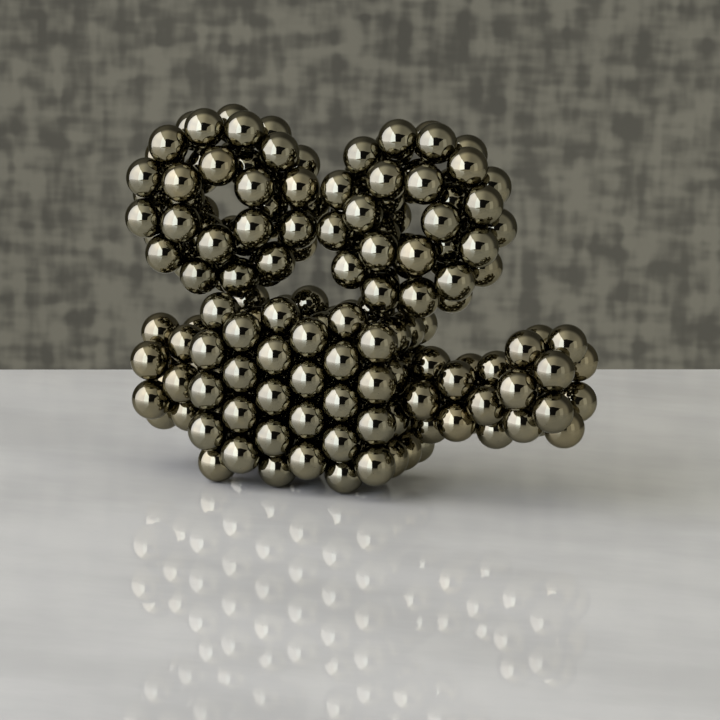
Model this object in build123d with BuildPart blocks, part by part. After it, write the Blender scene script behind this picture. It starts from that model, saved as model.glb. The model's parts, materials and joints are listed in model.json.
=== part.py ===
"""A film camera built from 216 equal magnetic balls, as a desk sculpture.

The body stands on two rows of feet: twelve closed loops of eight balls, six in its front
half and six in its back half.  Two film reels stand on top, an eyepiece block is on the
left and a lens with a wider hood is on the right.  X runs along the body, Y runs away from
the front, Z is up, and the origin is on the table under the middle of the sculpture.
"""
import os
from math import cos, pi, radians, sin, sqrt

from build123d import *

os.makedirs("parts", exist_ok=True)

# Driving dimensions, millimetres and degrees
BALL_DIAMETER = 5.0
PITCH = 5.02                # centre to centre of two balls that touch, with room for the plating
PULL_GAP = 0.15             # room between two sections that pull apart

COLUMN_COUNT = 6            # columns of balls along the body's front
TALL_COLUMN = 4             # balls in a tall column; a capped column has one fewer and two caps
CAP_LEAN = 0.4              # a cap ball leans this far towards the next column

LEFT_REEL_X = -0.91         # reel centres, from the centre of the body's first front column
LEFT_REEL_Y = 7.48
LEFT_REEL_ANGLES = (6.3, -0.3, -1.0)            # yaw, pitch and roll
LEFT_OVALS = (0.038, 0.055)                     # the rim and the core have sagged by these shares

RIGHT_REEL_X = 23.77
RIGHT_REEL_Y = 7.48
RIGHT_REEL_ANGLES = (-5.4, -9.0, -2.3)
RIGHT_OVALS = (0.004, 0.031)

EYEPIECE_PLACE = (1.15, 0.35)                   # back and up, from the body's middle
EYEPIECE_ANGLES = (3.3, -1.1, -4.9)             # yaw, pitch, and turn about its own axis
LENS_TUBE_PLACE = (-0.45, 0.35)
LENS_TUBE_ANGLES = (-1.9, -0.8, 0.9)
LENS_HOOD_PLACE = (-2.45, 3.15)
LENS_HOOD_ANGLES = (-3.0, -0.3, -1.1)

# Values that follow from them
BALL_RADIUS = BALL_DIAMETER / 2
COLUMN_SPACING = PITCH * sqrt(3) / 2
BACK_HALF_Y = 2 * PITCH + PULL_GAP
BODY_MIDDLE_Y = (BACK_HALF_Y + PITCH) / 2
BODY_MIDDLE_Z = (TALL_COLUMN - 1) * PITCH / 2
CAP_RISE = sqrt(PITCH**2 - (PITCH / 2) ** 2 - CAP_LEAN**2)


def ring_places(count, start_angle, oval=0.0):
    """Centres of a closed ring of touching balls, stretched sideways by the oval share."""
    places = []
    for step in range(count):
        angle = radians(start_angle) + 2 * pi / count * step
        reach = 1 + oval * cos(2 * angle)
        turn = angle - oval / 2 * sin(2 * angle)
        places.append(Vector(reach * cos(turn), reach * sin(turn), 0))
    shortest = min((places[step] - places[step - 1]).length for step in range(count))
    return [place * (PITCH / shortest) for place in places]


def column_places(count):
    """Centres of the two columns, side by side, of an open-ended loop of 2 x count balls."""
    rows = [PITCH * (row - (count - 1) / 2) for row in range(count)]
    return [Vector(side * PITCH / 2, row, 0) for side in (-1, 1) for row in rows]


def layer_distance(lower, upper):
    """How far apart two flat layers of balls lie when they just touch."""
    nearest = min((a - b).length for a in lower for b in upper)
    return sqrt(PITCH**2 - nearest**2)


def in_space(clusters):
    """Every ball centre of some clusters, in the sculpture's own frame."""
    return [plane.from_local_coords(place) for plane, places in clusters.values() for place in places]


def stand_off(balls, support, way):
    """How far along the unit vector way some balls must be moved to stay clear of their support."""
    reach = PITCH + PULL_GAP
    moves = []
    for ball in balls:
        for rest in support:
            gap = ball - rest
            along = gap.dot(way)
            aside = (gap - way * along).length
            if aside < reach:
                moves.append(sqrt(reach**2 - aside**2) - along)
    return max(moves)


def rest_on(clusters, support, way):
    """The clusters, moved as one along the unit vector way until they rest on their support."""
    shift = way * stand_off(in_space(clusters), in_space(support), way)
    return {
        name: (Plane(origin=plane.origin + shift, x_dir=plane.x_dir, z_dir=plane.z_dir), places)
        for name, (plane, places) in clusters.items()
    }


def facing_plane(centre, across, outward, turn):
    """A plane at the centre that faces outward, with its own X turned from across by turn degrees."""
    return Plane(origin=centre, x_dir=across.rotate(Axis((0, 0, 0), outward), turn), z_dir=outward)


# Body: loops of eight balls, seen from the side as two columns. Every second loop stands
# half a ball higher, with three balls a column and one ball closing it at the top and foot.
def body_loop(column, first_y):
    """One loop of eight balls that stands across the depth of the body."""
    plane = Plane.YZ.offset(column * COLUMN_SPACING)
    plane = plane.shift_origin((column * COLUMN_SPACING, first_y + PITCH / 2, BODY_MIDDLE_Z))
    if column % 2:
        return plane, column_places(TALL_COLUMN)
    places = column_places(TALL_COLUMN - 1)
    lean = CAP_LEAN if column == 0 else -CAP_LEAN
    cap_height = (TALL_COLUMN - 2) * PITCH / 2 + CAP_RISE
    for side in (-1, 1):
        places.append(Vector(0, side * cap_height, lean))
    return plane, places


front_half = {f"body_front_loop_{i + 1}": body_loop(i, 0) for i in range(COLUMN_COUNT)}
back_half = {f"body_back_loop_{i + 1}": body_loop(i, BACK_HALF_Y) for i in range(COLUMN_COUNT)}


# Stacks of rings that lie across the length of the sculpture, at the body's left and right ends
def ring_stack(way, place, angles, layers):
    """Rings stacked along X on the way out, each layer a name and its ball places."""
    yaw, pitch, turn = angles
    across, outward = (
        side.rotate(Axis.Y, pitch).rotate(Axis.Z, yaw) for side in (Vector(0, 1, 0), way)
    )
    centre = (0, BODY_MIDDLE_Y + place[0], BODY_MIDDLE_Z + place[1])
    base = facing_plane(centre, across, outward, turn)
    stack, height, below = {}, 0, None
    for name, places in layers.items():
        height += layer_distance(below, places) if below else 0
        stack[name] = (base.offset(height), places)
        below = places
    return stack


LEFT, RIGHT, UP = Vector(-1, 0, 0), Vector(1, 0, 0), Vector(0, 0, 1)
body = {**front_half, **back_half}
six, six_turned = ring_places(6, 0), ring_places(6, 30)
four, four_turned = ring_places(4, 0), ring_places(4, 45)

# Eyepiece: two six-ball rings nested into each other against the first column
eyepiece_rings = {"eyepiece_inner_ring": six, "eyepiece_outer_ring": six_turned}
eyepiece = ring_stack(LEFT, EYEPIECE_PLACE, EYEPIECE_ANGLES, eyepiece_rings)
eyepiece = rest_on(eyepiece, body, LEFT)

# Lens tube: three four-ball rings, each turned half a step from the last
tube_rings = {f"lens_tube_ring_{i + 1}": (four, four_turned)[i % 2] for i in range(3)}
lens_tube = ring_stack(RIGHT, LENS_TUBE_PLACE, LENS_TUBE_ANGLES, tube_rings)
lens_tube = rest_on(lens_tube, body, RIGHT)

# Lens hood: two six-ball rings in front of the tube, a little higher and nearer than it
hood_rings = {"lens_hood_inner_ring": six, "lens_hood_outer_ring": six_turned}
lens_hood = ring_stack(RIGHT, LENS_HOOD_PLACE, LENS_HOOD_ANGLES, hood_rings)
lens_hood = rest_on(lens_hood, lens_tube, RIGHT)


# Reels: a core of three nested six-ball rings inside a rim of two nested twelve-ball rings
def reel(side, x, y, angles, core_start, ovals):
    """One reel that faces the front, resting on the body, turned by its yaw, pitch and roll."""
    yaw, pitch, roll = angles
    across, outward = (
        Vector(way).rotate(Axis.Z, yaw).rotate(Axis.X, pitch) for way in ((1, 0, 0), (0, -1, 0))
    )
    middle = facing_plane((x, y, 0), across, outward, roll)
    rims = [ring_places(12, start, ovals[0]) for start in (15, 0)]
    cores = [ring_places(6, core_start + turn, ovals[1]) for turn in (0, 30, 0)]
    rim_step = layer_distance(rims[0], rims[1])
    core_step = layer_distance(cores[0], cores[1])
    rings = {
        f"{side}_reel_rim_front": (middle.offset(rim_step / 2), rims[0]),
        f"{side}_reel_rim_back": (middle.offset(-rim_step / 2), rims[1]),
        f"{side}_reel_core_front": (middle.offset(core_step), cores[0]),
        f"{side}_reel_core_middle": (middle, cores[1]),
        f"{side}_reel_core_back": (middle.offset(-core_step), cores[2]),
    }
    return rest_on(rings, body, UP)


# The left reel's front core ring has a ball at its top, and the right reel's has a flat top
left_reel = reel("left", LEFT_REEL_X, LEFT_REEL_Y, LEFT_REEL_ANGLES, 30, LEFT_OVALS)
right_reel = reel("right", RIGHT_REEL_X, RIGHT_REEL_Y, RIGHT_REEL_ANGLES, 0, RIGHT_OVALS)

# The whole sculpture, moved so that its origin is under its middle, on the table
sculpture = {**body, **eyepiece, **lens_tube, **lens_hood, **left_reel, **right_reel}
centres = in_space(sculpture)
middle_x = (min(ball.X for ball in centres) + max(ball.X for ball in centres)) / 2
middle_y = (min(ball.Y for ball in centres) + max(ball.Y for ball in centres)) / 2
table_z = min(ball.Z for ball in centres) - BALL_RADIUS

for name, (plane, places) in sculpture.items():
    origin = plane.origin - Vector(middle_x, middle_y, table_z)
    with BuildPart(Plane(origin=origin, x_dir=plane.x_dir, z_dir=plane.z_dir)) as cluster:
        with Locations(*places):
            Sphere(BALL_RADIUS)
    cluster.part.label = name
    export_step(cluster.part, f"parts/{name}.step")
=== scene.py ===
"""A desk sculpture of magnetic steel balls, put together as a small film camera.

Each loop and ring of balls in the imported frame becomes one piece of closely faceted,
nickel-plated balls.  The sculpture stands on a pale polished slab in front of coarse cloth,
between a tall window on its left and a narrow one on its right.  Lengths are in metres.
"""

import json
import math

import bmesh
import bpy
import numpy as np
from bpy.props import FloatProperty, FloatVectorProperty, IntProperty, PointerProperty
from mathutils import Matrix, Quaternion, Vector


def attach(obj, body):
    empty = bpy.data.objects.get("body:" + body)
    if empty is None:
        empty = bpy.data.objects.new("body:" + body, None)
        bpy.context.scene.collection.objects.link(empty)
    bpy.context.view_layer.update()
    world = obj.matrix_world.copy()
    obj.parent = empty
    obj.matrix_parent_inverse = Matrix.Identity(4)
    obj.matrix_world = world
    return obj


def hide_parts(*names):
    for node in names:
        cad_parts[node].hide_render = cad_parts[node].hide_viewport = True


bl_info = {
    "name": "Magnetic Ball Film Camera",
    "version": (1, 0, 0),
    "blender": (4, 5, 0),
    "location": "3D View > Sidebar > Ball Camera",
    "description": "Builds a film camera of magnetic balls, loop by loop, and the slab it stands on",
    "category": "Object",
}

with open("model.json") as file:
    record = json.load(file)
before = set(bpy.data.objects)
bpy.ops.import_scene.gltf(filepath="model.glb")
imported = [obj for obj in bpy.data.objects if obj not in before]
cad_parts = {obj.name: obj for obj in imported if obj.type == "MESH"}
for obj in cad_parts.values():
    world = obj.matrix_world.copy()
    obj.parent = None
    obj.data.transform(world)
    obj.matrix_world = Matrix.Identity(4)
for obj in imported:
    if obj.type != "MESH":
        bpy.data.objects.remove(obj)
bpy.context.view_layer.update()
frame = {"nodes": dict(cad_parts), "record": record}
BODIES = frame["record"]["behaviour"]["bodies"]

MM = 0.001
SENSOR_WIDTH = 36.0  # in millimetres, as Blender's own cameras have it

# Balls
CONTACT_REACH = 2.09     # ball radii between the centres of two balls that count as touching
SAME_BALL = 0.1          # and under this many radii it is the ball itself
MARK_CORE = 0.25         # share of a contact mark's reach that is fully rubbed
WARMTH_BIAS = 5          # the higher this is, the fewer the balls that are yellow

# Slab, measured from the middle of the sculpture as the view sees it
SLAB_TURN = math.radians(6.7)
SLAB_REACH = {"left": 0.30, "right": 0.45, "front": 0.155, "back": 0.082}
SLAB_THICKNESS = 20 * MM
SLAB_EDGE = 1.5 * MM

# Backdrop cloth
BACKDROP_BEHIND = 0.62
BACKDROP_HALF_WIDTH = 0.9
BACKDROP_BOTTOM, BACKDROP_TOP = -0.45, 0.32

# Dark card in front: how far towards the view it stands, and its corners to the right and up
CARD_TOWARDS = 0.6
CARD_CORNERS = (
    (-0.17, -0.03), (0.14, -0.03), (0.19, 0.17), (0.37, 0.30),
    (0.58, 0.46), (0.157, 0.48), (0.0, 0.54), (-0.22, 0.53),
)

# Windows: where they are (right, towards the view, up), width and height
NEAR_WINDOW = {"place": (-0.6, 0.21, 0.415), "width": 0.82, "height": 1.03}
FAR_WINDOW = {"place": (-0.6, 1.335, 0.44), "width": 1.43, "height": 1.08}
RIGHT_WINDOW = {"place": (0.67, 0.6, 0.12), "width": 0.32, "height": 0.65}
RIGHT_WINDOW_SHARE = 0.11    # of the tall window's brightness
NEAR_WINDOW_COLOUR = (0.68, 0.70, 0.93)
FAR_WINDOW_COLOUR = (0.84, 0.95, 1.26)
WHITE = (1.0, 1.0, 1.0)
FILL_HEIGHT = 0.8
FILL_SIZE = 1.0
ROOM_COLOUR = (1.0, 0.97, 0.89, 1.0)


# ---------------------------------------------------------------- settings


class BallSettings(bpy.types.PropertyGroup):
    """How finely the balls are made, and how much one differs from the next."""

    facets: IntProperty(
        name="Facets",
        description="Facets along each of the twelve edges that a ball's mesh is blown out from",
        default=24,
        min=8,
        max=40,
    )
    seed: IntProperty(
        name="Seed",
        description="Start of the random draws that give each ball its own tone",
        default=7,
        min=0,
    )
    tone_spread: FloatProperty(
        name="Tone Spread",
        description="How much lighter or darker one ball's plating is than the next",
        default=0.05,
        min=0.0,
        max=0.5,
        subtype="FACTOR",
    )
    contact_angle: FloatProperty(
        name="Contact Mark",
        description="How far a rubbed mark reaches round the point where two balls touch",
        default=math.radians(11),
        min=0.0,
        max=math.radians(30),
        subtype="ANGLE",
    )


class PlatingSettings(bpy.types.PropertyGroup):
    """The nickel plating of the balls in each part of the camera."""

    body: FloatVectorProperty(
        name="Body",
        description="Colour that the plating of the camera's body gives to what it mirrors",
        default=(0.228, 0.213, 0.149),
        min=0.0,
        max=1.0,
        size=3,
        subtype="COLOR",
    )
    reels: FloatVectorProperty(
        name="Reels",
        description="Colour that the plating of the two film reels gives to what it mirrors",
        default=(0.226, 0.211, 0.146),
        min=0.0,
        max=1.0,
        size=3,
        subtype="COLOR",
    )
    eyepiece: FloatVectorProperty(
        name="Eyepiece",
        description="Colour that the plating of the eyepiece gives to what it mirrors",
        default=(0.233, 0.209, 0.135),
        min=0.0,
        max=1.0,
        size=3,
        subtype="COLOR",
    )
    lens: FloatVectorProperty(
        name="Lens",
        description="Colour that the plating of the lens and its hood gives to what it mirrors",
        default=(0.226, 0.206, 0.140),
        min=0.0,
        max=1.0,
        size=3,
        subtype="COLOR",
    )
    brass: FloatVectorProperty(
        name="Worn Through",
        description="Colour of the yellower metal under the nickel, where it is rubbed thin",
        default=(0.40, 0.31, 0.14),
        min=0.0,
        max=1.0,
        size=3,
        subtype="COLOR",
    )
    polish: FloatProperty(
        name="Roughness",
        description="Roughness of the plating where it is clean",
        default=0.034,
        min=0.0,
        max=1.0,
        subtype="FACTOR",
    )
    smudge: FloatProperty(
        name="Smudges",
        description="Roughness that finger marks add",
        default=0.05,
        min=0.0,
        max=1.0,
        subtype="FACTOR",
    )
    grain: FloatProperty(
        name="Scratch Size",
        description="Width of the fine polishing marks",
        default=0.12 * MM,
        min=0.01 * MM,
        max=2 * MM,
        unit="LENGTH",
    )


class StageSettings(bpy.types.PropertyGroup):
    """The slab, the backdrop, the light and the camera that looks at the sculpture."""

    azimuth: FloatProperty(
        name="Azimuth",
        description="How far the view is turned from square on to the camera's side, towards its lens",
        default=math.radians(19.11),
        subtype="ANGLE",
    )
    elevation: FloatProperty(
        name="Elevation",
        description="How far the view looks down",
        default=math.radians(10.0),
        subtype="ANGLE",
    )
    roll: FloatProperty(
        name="Roll",
        description="How far the view is turned about its own line of sight",
        default=math.radians(1.17),
        subtype="ANGLE",
    )
    distance: FloatProperty(
        name="Distance",
        description="From the view point to the middle of what is looked at",
        default=452 * MM,
        min=100 * MM,
        unit="LENGTH",
    )
    aim: FloatVectorProperty(
        name="Aim",
        description="The point that is looked at",
        default=(0.006 * MM, 1.2 * MM, 15.5 * MM),
        size=3,
        subtype="XYZ",
        unit="LENGTH",
    )
    lens: FloatProperty(
        name="Focal Length",
        description="Focal length of the view's lens, in millimetres",
        default=183.6,
        min=10.0,
        subtype="NONE",
    )
    slab: FloatVectorProperty(
        name="Slab",
        description="Colour of the polished slab",
        default=(0.598, 0.588, 0.525),
        min=0.0,
        max=1.0,
        size=3,
        subtype="COLOR",
    )
    backdrop: FloatVectorProperty(
        name="Backdrop",
        description="Colour of the coarse cloth behind the sculpture",
        default=(0.108, 0.103, 0.075),
        min=0.0,
        max=1.0,
        size=3,
        subtype="COLOR",
    )
    window: FloatProperty(
        name="Window Light",
        description="Brightness of the tall window, where white paper in full light is 1",
        default=3.5,
        min=0.0,
    )
    room: FloatProperty(
        name="Room Light",
        description="Brightness of the room in front, on the same scale as the window",
        default=0.57,
        min=0.0,
    )
    fill: FloatProperty(
        name="Fill Light",
        description="Soft light from overhead that the slab gets and the balls don't mirror",
        default=0.9,
        min=0.0,
    )


# ---------------------------------------------------------------- reading the frame


def ball_groups(node):
    """The points of each separate ball in one node of the frame, one array for each ball."""
    mesh = frame["nodes"][node].data
    points = np.zeros(len(mesh.vertices) * 3)
    mesh.vertices.foreach_get("co", points)
    points = points.reshape(-1, 3)
    ends = np.zeros(len(mesh.edges) * 2, int)
    mesh.edges.foreach_get("vertices", ends)
    a, b = ends.reshape(-1, 2).T
    label = np.arange(len(points))
    while True:
        lowest = np.minimum(label[a], label[b])
        spread = label.copy()
        np.minimum.at(spread, a, lowest)
        np.minimum.at(spread, b, lowest)
        spread = spread[spread]
        if (spread == label).all():
            return [points[label == one] for one in np.unique(label)]
        label = spread


def fit_ball(points):
    """Centre and radius of the ball that these points lie on."""
    terms = np.hstack([2 * points, np.ones((len(points), 1))])
    solved = np.linalg.lstsq(terms, (points**2).sum(1), rcond=None)[0]
    centre = solved[:3]
    return centre, math.sqrt(solved[3] + centre @ centre)


def balls_of(node):
    """Centres and radii of the balls in one node, from left to right."""
    found = [fit_ball(points) for points in ball_groups(node)]
    if not found:
        raise RuntimeError(f"{node} holds no balls")
    found.sort(key=lambda ball: tuple(np.round(ball[0], 6)))
    return np.array([centre for centre, _ in found]), np.array([radius for _, radius in found])


BALLS = {node: balls_of(node) for nodes in BODIES.values() for node in nodes}
ALL_CENTRES = np.concatenate([centres for centres, _ in BALLS.values()])
BALL_RADIUS = float(np.mean(np.concatenate([radii for _, radii in BALLS.values()])))


# ---------------------------------------------------------------- ball meshes


def unit_ball(facets):
    """Points and four-sided faces of a ball of radius 1: a cube's even grid, blown out to a sphere."""
    grid = bmesh.new()
    bmesh.ops.create_cube(grid, size=2)
    bmesh.ops.subdivide_edges(grid, edges=grid.edges[:], cuts=facets - 1, use_grid_fill=True)
    for vert in grid.verts:
        vert.co = Vector([math.tan(c * math.pi / 4) for c in vert.co]).normalized()
    grid.verts.index_update()
    points = np.array([vert.co[:] for vert in grid.verts])
    faces = np.array([[vert.index for vert in face.verts] for face in grid.faces])
    grid.free()
    return points, faces


def contact_marks(directions, centre, reach):
    """How rubbed the ball is in each direction: 1 where a neighbour touches it, fading out beyond."""
    gaps = ALL_CENTRES - centre
    lengths = np.linalg.norm(gaps, axis=1)
    near = (lengths > SAME_BALL * BALL_RADIUS) & (lengths < CONTACT_REACH * BALL_RADIUS)
    marks = np.zeros(len(directions))
    for gap, length in zip(gaps[near], lengths[near]):
        angle = np.arccos(np.clip(directions @ (gap / length), -1, 1))
        marks = np.maximum(marks, np.clip(1 + MARK_CORE - angle / reach, 0, 1))
    return marks


def add_values(mesh, name, values):
    """Stores one number for each point of the mesh."""
    attribute = mesh.attributes.new(name, "FLOAT", "POINT")
    attribute.data.foreach_set("value", np.asarray(values, np.float32))


def ball_cluster(node, body, material, settings, rng):
    """One piece: all the balls of a node, each a closed mesh of its own, riding with its body."""
    unit, unit_faces = unit_ball(settings.facets)
    centres, radii = BALLS[node]
    points, faces, tones, warmths, marks = [], [], [], [], []
    for number, (centre, radius) in enumerate(zip(centres, radii)):
        points.append(centre + radius * unit)
        faces.append(unit_faces + number * len(unit))
        tones.append(np.full(len(unit), rng.normal(0, settings.tone_spread)))
        warmths.append(np.full(len(unit), rng.random() ** WARMTH_BIAS))
        marks.append(contact_marks(unit, centre, settings.contact_angle))
    mesh = bpy.data.meshes.new(node + "_balls")
    mesh.from_pydata(np.concatenate(points).tolist(), [], np.concatenate(faces).tolist())
    mesh.shade_smooth()
    mesh.normals_split_custom_set_from_vertices(np.tile(unit, (len(centres), 1)).tolist())
    add_values(mesh, "tone", np.concatenate(tones))
    add_values(mesh, "warmth", np.concatenate(warmths))
    add_values(mesh, "rubbed", np.concatenate(marks))
    mesh.materials.append(material)
    piece = bpy.data.objects.new(node + "_balls", mesh)
    bpy.context.scene.collection.objects.link(piece)
    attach(piece, body)
    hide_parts(node)


# ---------------------------------------------------------------- node helpers


class Wiring:
    """Short names for adding and joining the nodes of one material or world."""

    def __init__(self, tree):
        self.tree = tree
        tree.nodes.clear()

    def add(self, kind, inputs=None, **settings):
        """A node with its own settings, and with its inputs joined up or set."""
        node = self.tree.nodes.new(kind)
        for name, value in settings.items():
            setattr(node, name, value)
        for key, value in (inputs or {}).items():
            if isinstance(value, bpy.types.NodeSocket):
                self.tree.links.new(value, node.inputs[key])
            else:
                node.inputs[key].default_value = value
        return node

    def math(self, operation, a, b, clamp=False):
        """The outcome of one sum."""
        inputs = {0: a, 1: b}
        return self.add("ShaderNodeMath", inputs, operation=operation, use_clamp=clamp).outputs[0]

    def scale(self, vector, share):
        """A colour or direction made share times as strong."""
        inputs = {0: vector, "Scale": share}
        return self.add("ShaderNodeVectorMath", inputs, operation="SCALE").outputs[0]

    def stretch(self, where, shares):
        """Places with each axis stretched by its share."""
        return self.add("ShaderNodeMapping", {"Vector": where, "Scale": shares}).outputs[0]

    def surface(self, **inputs):
        """The one shader of a material, with the inputs named in it, and its output."""
        named = {name.replace("_", " "): value for name, value in inputs.items()}
        shader = self.add("ShaderNodeBsdfPrincipled", named)
        self.add("ShaderNodeOutputMaterial", {"Surface": shader.outputs[0]})

    def remap(self, value, low, high, to_low=0.0, to_high=1.0):
        """The value, taken smoothly from low..high to to_low..to_high, and held at the ends."""
        inputs = {0: value, 1: low, 2: high, 3: to_low, 4: to_high}
        return self.add("ShaderNodeMapRange", inputs, interpolation_type="SMOOTHSTEP").outputs[0]

    def noise(self, where, size, detail=2.0, roughness=0.5):
        """Soft noise about as coarse as size, in metres."""
        inputs = {"Vector": where, "Scale": 1 / size, "Detail": detail, "Roughness": roughness}
        return self.add("ShaderNodeTexNoise", inputs).outputs["Fac"]

    def mix(self, share, a, b):
        """Colour a, with this share of colour b."""
        node = self.add("ShaderNodeMix", data_type="RGBA", clamp_factor=True)
        for socket, value in zip((node.inputs[0], node.inputs[6], node.inputs[7]), (share, a, b)):
            if isinstance(value, bpy.types.NodeSocket):
                self.tree.links.new(value, socket)
            else:
                socket.default_value = value
        return node.outputs[2]


def colour4(colour):
    """An RGB colour with full opacity."""
    return (*colour, 1.0)


def new_material(name):
    """An empty material and the wiring of its nodes."""
    material = bpy.data.materials.new(name)
    material.use_nodes = True
    return material, Wiring(material.node_tree)


# ---------------------------------------------------------------- materials


def plating(name, tint, settings):
    """Bright nickel: tiny polishing marks, finger smudges, pinholes and rubbed contact points."""
    material, w = new_material(name)
    where = w.add("ShaderNodeTexCoord").outputs["Object"]
    tone = w.add("ShaderNodeAttribute", attribute_name="tone").outputs["Fac"]
    warmth = w.add("ShaderNodeAttribute", attribute_name="warmth").outputs["Fac"]
    rubbed = w.add("ShaderNodeAttribute", attribute_name="rubbed").outputs["Fac"]

    patina = w.noise(where, 1.6 * MM, 3.0)
    smudges = w.remap(w.noise(where, 0.9 * MM, 4.0, 0.6), 0.5, 0.75)
    marks = w.noise(where, settings.grain, 3.0, 0.7)
    cells = w.add("ShaderNodeTexVoronoi", {"Vector": where, "Scale": 1 / (0.55 * MM)})
    pinholes = w.remap(cells.outputs["Distance"], 0.05, 0.09, 1.0, 0.0)
    rough_ring = w.math("MULTIPLY", rubbed, w.remap(marks, 0.3, 0.6))

    yellowing = w.math("ADD", w.math("MULTIPLY", warmth, 0.25), w.math("MULTIPLY", rough_ring, 0.5))
    yellowing = w.math("ADD", yellowing, w.remap(patina, 0.45, 0.8, 0.0, 0.16), clamp=True)
    metal = w.mix(yellowing, colour4(tint), colour4(settings.brass))
    brightness = w.math("ADD", w.math("ADD", tone, 1.0), w.remap(patina, 0.3, 0.7, -0.04, 0.04))
    pinhole_dirt = (0.05, 0.045, 0.04, 1.0)
    metal = w.mix(w.math("MULTIPLY", pinholes, 0.6), w.scale(metal, brightness), pinhole_dirt)

    roughness = w.math("ADD", w.math("MULTIPLY", smudges, settings.smudge), settings.polish)
    roughness = w.math("ADD", roughness, w.math("MULTIPLY", rough_ring, 0.2))
    roughness = w.math("ADD", roughness, w.math("MULTIPLY", pinholes, 0.3), clamp=True)

    height = w.math("ADD", w.math("MULTIPLY", marks, 0.25), w.noise(where, 0.8 * MM, 2.0))
    height = w.math("SUBTRACT", height, w.math("MULTIPLY", pinholes, 0.8))
    bump = w.add("ShaderNodeBump", {"Height": height, "Strength": 0.35, "Distance": 0.004 * MM})

    w.surface(
        Base_Color=metal,
        Metallic=1.0,
        Roughness=roughness,
        Specular_Tint=(0.58, 0.58, 0.56, 1.0),
        Normal=bump.outputs[0],
    )
    return material


def polished_stone(name, colour):
    """Pale stone, polished, with faint drawn-out clouds and a fine speckle."""
    material, w = new_material(name)
    where = w.add("ShaderNodeTexCoord").outputs["Object"]
    clouds = w.noise(w.stretch(where, (0.75, 1.6, 1.0)), 45 * MM, 5.0, 0.6)
    speckle = w.noise(where, 1.2 * MM, 3.0, 0.7)
    darker = colour4([c * 0.86 for c in colour])
    stone = w.mix(w.remap(clouds, 0.35, 0.65), colour4(colour), darker)
    stone = w.mix(w.remap(speckle, 0.5, 0.8, 0.0, 0.2), stone, darker)
    roughness = w.remap(clouds, 0.3, 0.7, 0.02, 0.045)
    w.surface(Base_Color=stone, Roughness=roughness, IOR=1.46)
    return material


def cloth(name, colour):
    """Coarse cloth: thick and thin threads across and up, and a slow unevenness over them all."""
    material, w = new_material(name)
    where = w.add("ShaderNodeTexCoord").outputs["Object"]
    warp = w.noise(w.stretch(where, (1.8, 1.8, 0.6)), 8 * MM, 1.5)
    weft = w.noise(w.stretch(where, (0.6, 0.6, 1.8)), 8 * MM, 1.5)
    weave = w.remap(w.math("ADD", warp, weft), 0.75, 1.25, 0.62, 1.38)
    patches = w.remap(w.noise(where, 120 * MM), 0.3, 0.7, -0.1, 0.1)
    w.surface(Base_Color=w.scale(colour, w.math("ADD", weave, patches)), Roughness=0.9)
    return material


def matt_black(name):
    """Black card."""
    material, w = new_material(name)
    w.surface(Base_Color=(0.012, 0.012, 0.011, 1.0), Roughness=0.8)
    return material


# ---------------------------------------------------------------- stage pieces


def view_axes(azimuth):
    """Level directions to the right of the view and back towards the view point, and straight up."""
    right = Vector((math.cos(azimuth), math.sin(azimuth), 0))
    towards = Vector((math.sin(azimuth), -math.cos(azimuth), 0))
    return right, towards, Vector((0, 0, 1))


def from_view(axes, right, towards, up):
    """A point given by how far it is to the right, towards the view point, and up."""
    return axes[0] * right + axes[1] * towards + axes[2] * up


def add_stage_mesh(name, mesh_builder, material):
    """A stage object whose mesh the builder fills in."""
    shape = bmesh.new()
    mesh_builder(shape)
    mesh = bpy.data.meshes.new(name)
    shape.to_mesh(mesh)
    shape.free()
    mesh.materials.append(material)
    made = bpy.data.objects.new(name, mesh)
    bpy.context.scene.collection.objects.link(made)
    return made


def slab_mesh(axes, left, right, front, back, thickness, edge):
    """Fills in a slab with rounded edges whose top is the plane that the sculpture stands on."""

    def fill(shape):
        bmesh.ops.create_cube(shape, size=1)
        for vert in shape.verts:
            across = right if vert.co.x > 0 else -left
            along = front if vert.co.y < 0 else -back
            vert.co = from_view(axes, across, along, 0 if vert.co.z > 0 else -thickness)
        edges = shape.edges[:]
        bmesh.ops.bevel(shape, geom=edges, offset=edge, segments=4, profile=0.5, affect="EDGES")

    return fill


def flat_mesh(corners):
    """Fills in one flat face with these corners."""

    def fill(shape):
        shape.faces.new([shape.verts.new(corner) for corner in corners])

    return fill


def add_window(name, centre, facing, width, height, radiance, colour):
    """A soft light the size of a window. Its brightness is the same however far away it is."""
    light = bpy.data.lights.new(name, "AREA")
    light.shape = "RECTANGLE"
    light.size = width
    light.size_y = height
    light.energy = radiance * math.pi * width * height
    light.color = colour
    made = bpy.data.objects.new(name, light)
    made.location = centre
    made.rotation_mode = "QUATERNION"
    made.rotation_quaternion = facing.to_track_quat("-Z", "Y")
    bpy.context.scene.collection.objects.link(made)
    return made


def light_room(axes, brightness):
    """A room that is light in front, lightest overhead at the tall window, and dark behind."""
    world = bpy.data.worlds.new("room")
    world.use_nodes = True
    w = Wiring(world.node_tree)
    direction = w.add("ShaderNodeTexCoord").outputs["Generated"]
    right, towards, up = [
        w.add("ShaderNodeVectorMath", {0: direction, 1: axis}, operation="DOT_PRODUCT").outputs["Value"]
        for axis in axes
    ]
    ceiling = w.math("MULTIPLY", w.remap(up, 0.3, 0.75), w.remap(right, -0.45, 0.35, 1.2, -0.2))
    front = w.remap(towards, -0.3, 0.15, 0.2, 1.0)
    strength = w.math("MULTIPLY", w.math("MULTIPLY", w.math("ADD", ceiling, 1.0), front), brightness)
    shade = w.add("ShaderNodeBackground", {"Color": ROOM_COLOUR, "Strength": strength})
    w.add("ShaderNodeOutputWorld", {"Surface": shade.outputs[0]})
    bpy.context.scene.world = world


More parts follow.
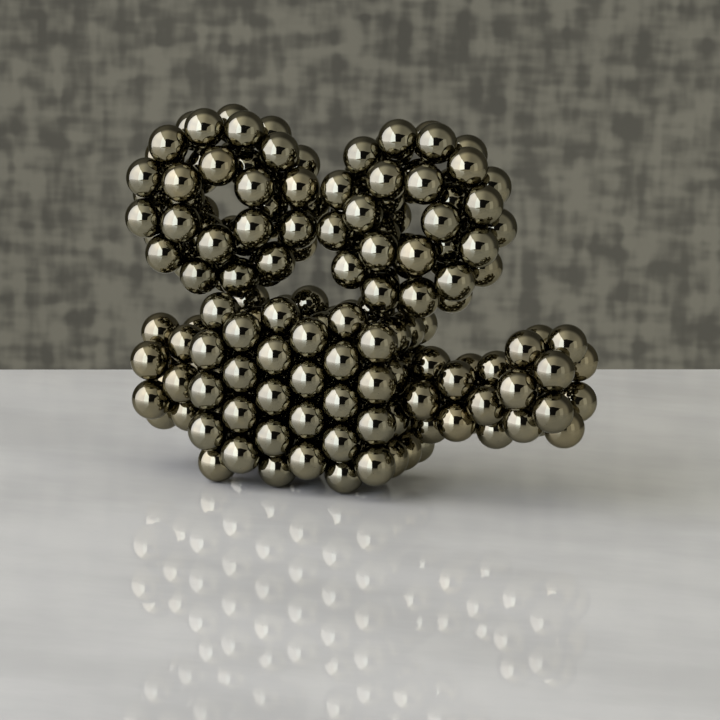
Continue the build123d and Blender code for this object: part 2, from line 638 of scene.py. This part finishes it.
def add_slab(settings):
    """The polished slab, turned so that its far edge looks level."""
    axes = view_axes(settings.azimuth + SLAB_TURN)
    shape = slab_mesh(axes, **SLAB_REACH, thickness=SLAB_THICKNESS, edge=SLAB_EDGE)
    add_stage_mesh("slab", shape, polished_stone("polished_slab", settings.slab))


def add_backdrop(axes, settings):
    """Cloth that stands upright well behind the sculpture."""
    half = BACKDROP_HALF_WIDTH
    low, high = BACKDROP_BOTTOM, BACKDROP_TOP
    sides = ((-half, low), (half, low), (half, high), (-half, high))
    corners = [from_view(axes, across, -BACKDROP_BEHIND, up) for across, up in sides]
    add_stage_mesh("backdrop", flat_mesh(corners), cloth("backdrop_cloth", settings.backdrop))


def add_shade_card(axes):
    """A dark card in front, which only the balls and the slab mirror."""
    corners = [from_view(axes, across, CARD_TOWARDS, up) for across, up in CARD_CORNERS]
    card = add_stage_mesh("shade_card", flat_mesh(corners), matt_black("shade_card_black"))
    card.visible_camera = False
    card.visible_diffuse = False


def add_windows(axes, settings):
    """The tall window in two parts, the narrow one, and the soft light from overhead."""
    window, level = settings.window, axes[0]
    for name, part, colour in (
        ("window_near", NEAR_WINDOW, NEAR_WINDOW_COLOUR),
        ("window_far", FAR_WINDOW, FAR_WINDOW_COLOUR),
    ):
        place = from_view(axes, *part["place"])
        add_window(name, place, level, part["width"], part["height"], window, colour)
    place = from_view(axes, *RIGHT_WINDOW["place"])
    facing, size = -place.normalized(), (RIGHT_WINDOW["width"], RIGHT_WINDOW["height"])
    add_window("window_right", place, facing, *size, RIGHT_WINDOW_SHARE * window, WHITE)
    above, down = Vector((0, 0, FILL_HEIGHT)), Vector((0, 0, -1))
    fill = add_window("overhead_fill", above, down, FILL_SIZE, FILL_SIZE, settings.fill, WHITE)
    fill.visible_glossy = False


def aim_camera(settings):
    """The camera, at the sculpture's front and a little above it."""
    back = Vector((
        math.sin(settings.azimuth) * math.cos(settings.elevation),
        -math.cos(settings.azimuth) * math.cos(settings.elevation),
        math.sin(settings.elevation),
    ))
    lens = bpy.data.cameras.new("view")
    lens.sensor_width = SENSOR_WIDTH
    lens.lens = settings.lens
    lens.clip_start = 10 * MM
    lens.clip_end = 20.0
    camera = bpy.data.objects.new("view", lens)
    camera.location = Vector(settings.aim) + back * settings.distance
    camera.rotation_mode = "QUATERNION"
    roll = Quaternion((0, 0, 1), settings.roll)
    camera.rotation_quaternion = (-back).to_track_quat("-Z", "Y") @ roll
    bpy.context.scene.collection.objects.link(camera)
    bpy.context.scene.camera = camera


# ---------------------------------------------------------------- operators


def build_body(context, body, slot, tint):
    """Every loop or ring of one body, in the plating that its slot's bodies share."""
    balls, finish = context.scene.camera_balls, context.scene.camera_plating
    name = slot.replace("_balls", "_plating")
    material = bpy.data.materials.get(name) or plating(name, tint, finish)
    order = sorted(BODIES).index(body)
    rng = np.random.default_rng([balls.seed, order])
    for node in sorted(BODIES[body]):
        ball_cluster(node, body, material, balls, rng)
    return {"FINISHED"}


class BALLCAMERA_OT_body_front(bpy.types.Operator):
    """Build the six loops of the body's near half"""

    bl_idname = "ball_camera.body_front"
    bl_label = "Body, Near Half"

    def execute(self, context):
        return build_body(context, "body_front", "body_balls", context.scene.camera_plating.body)


class BALLCAMERA_OT_body_back(bpy.types.Operator):
    """Build the six loops of the body's far half"""

    bl_idname = "ball_camera.body_back"
    bl_label = "Body, Far Half"

    def execute(self, context):
        return build_body(context, "body_back", "body_balls", context.scene.camera_plating.body)


class BALLCAMERA_OT_left_reel(bpy.types.Operator):
    """Build the rims and the core of the left film reel"""

    bl_idname = "ball_camera.left_reel"
    bl_label = "Left Reel"

    def execute(self, context):
        return build_body(context, "left_reel", "reel_balls", context.scene.camera_plating.reels)


class BALLCAMERA_OT_right_reel(bpy.types.Operator):
    """Build the rims and the core of the right film reel"""

    bl_idname = "ball_camera.right_reel"
    bl_label = "Right Reel"

    def execute(self, context):
        return build_body(context, "right_reel", "reel_balls", context.scene.camera_plating.reels)


class BALLCAMERA_OT_eyepiece(bpy.types.Operator):
    """Build the two rings of the eyepiece"""

    bl_idname = "ball_camera.eyepiece"
    bl_label = "Eyepiece"

    def execute(self, context):
        return build_body(context, "eyepiece", "eyepiece_balls", context.scene.camera_plating.eyepiece)


class BALLCAMERA_OT_lens_tube(bpy.types.Operator):
    """Build the three small rings of the lens tube"""

    bl_idname = "ball_camera.lens_tube"
    bl_label = "Lens Tube"

    def execute(self, context):
        return build_body(context, "lens_tube", "lens_balls", context.scene.camera_plating.lens)


class BALLCAMERA_OT_lens_hood(bpy.types.Operator):
    """Build the two widening rings of the lens hood"""

    bl_idname = "ball_camera.lens_hood"
    bl_label = "Lens Hood"

    def execute(self, context):
        return build_body(context, "lens_hood", "lens_balls", context.scene.camera_plating.lens)


class BALLCAMERA_OT_stage(bpy.types.Operator):
    """Set out the slab, the backdrop, the windows, the room and the camera"""

    bl_idname = "ball_camera.stage"
    bl_label = "Stage"

    def execute(self, context):
        settings = context.scene.camera_stage
        context.scene.view_settings.view_transform = "Standard"
        axes = view_axes(settings.azimuth)
        add_slab(settings)
        add_backdrop(axes, settings)
        add_shade_card(axes)
        add_windows(axes, settings)
        light_room(axes, settings.room)
        aim_camera(settings)
        return {"FINISHED"}


class BALLCAMERA_PT_panel(bpy.types.Panel):
    """The steps that build the sculpture, in order, with their settings"""

    bl_idname = "BALLCAMERA_PT_panel"
    bl_label = "Ball Film Camera"
    bl_space_type = "VIEW_3D"
    bl_region_type = "UI"
    bl_category = "Ball Camera"

    def draw(self, context):
        for group in ("camera_balls", "camera_plating", "camera_stage"):
            settings = getattr(context.scene, group)
            box = self.layout.box()
            for name in settings.bl_rna.properties.keys():
                if name not in ("rna_type", "name"):
                    box.prop(settings, name)
        for operator in OPERATORS:
            self.layout.operator(operator.bl_idname)


GROUPS = {
    "camera_balls": BallSettings,
    "camera_plating": PlatingSettings,
    "camera_stage": StageSettings,
}
OPERATORS = (
    BALLCAMERA_OT_body_front,
    BALLCAMERA_OT_body_back,
    BALLCAMERA_OT_left_reel,
    BALLCAMERA_OT_right_reel,
    BALLCAMERA_OT_eyepiece,
    BALLCAMERA_OT_lens_tube,
    BALLCAMERA_OT_lens_hood,
    BALLCAMERA_OT_stage,
)


def register():
    """Make the settings, the operators and the panel known."""
    for group in GROUPS.values():
        bpy.utils.register_class(group)
    for name, group in GROUPS.items():
        setattr(bpy.types.Scene, name, PointerProperty(type=group))
    for operator in OPERATORS:
        bpy.utils.register_class(operator)
    bpy.utils.register_class(BALLCAMERA_PT_panel)


def unregister():
    """Take them away again, in the opposite order."""
    bpy.utils.unregister_class(BALLCAMERA_PT_panel)
    for operator in reversed(OPERATORS):
        bpy.utils.unregister_class(operator)
    for name in GROUPS:
        delattr(bpy.types.Scene, name)
    for group in reversed(GROUPS.values()):
        bpy.utils.unregister_class(group)


def main():
    """Build every section and the stage."""
    register()
    bpy.ops.ball_camera.body_front()
    bpy.ops.ball_camera.body_back()
    bpy.ops.ball_camera.left_reel()
    bpy.ops.ball_camera.right_reel()
    bpy.ops.ball_camera.eyepiece()
    bpy.ops.ball_camera.lens_tube()
    bpy.ops.ball_camera.lens_hood()
    bpy.ops.ball_camera.stage()


if __name__ == "__main__":
    main()
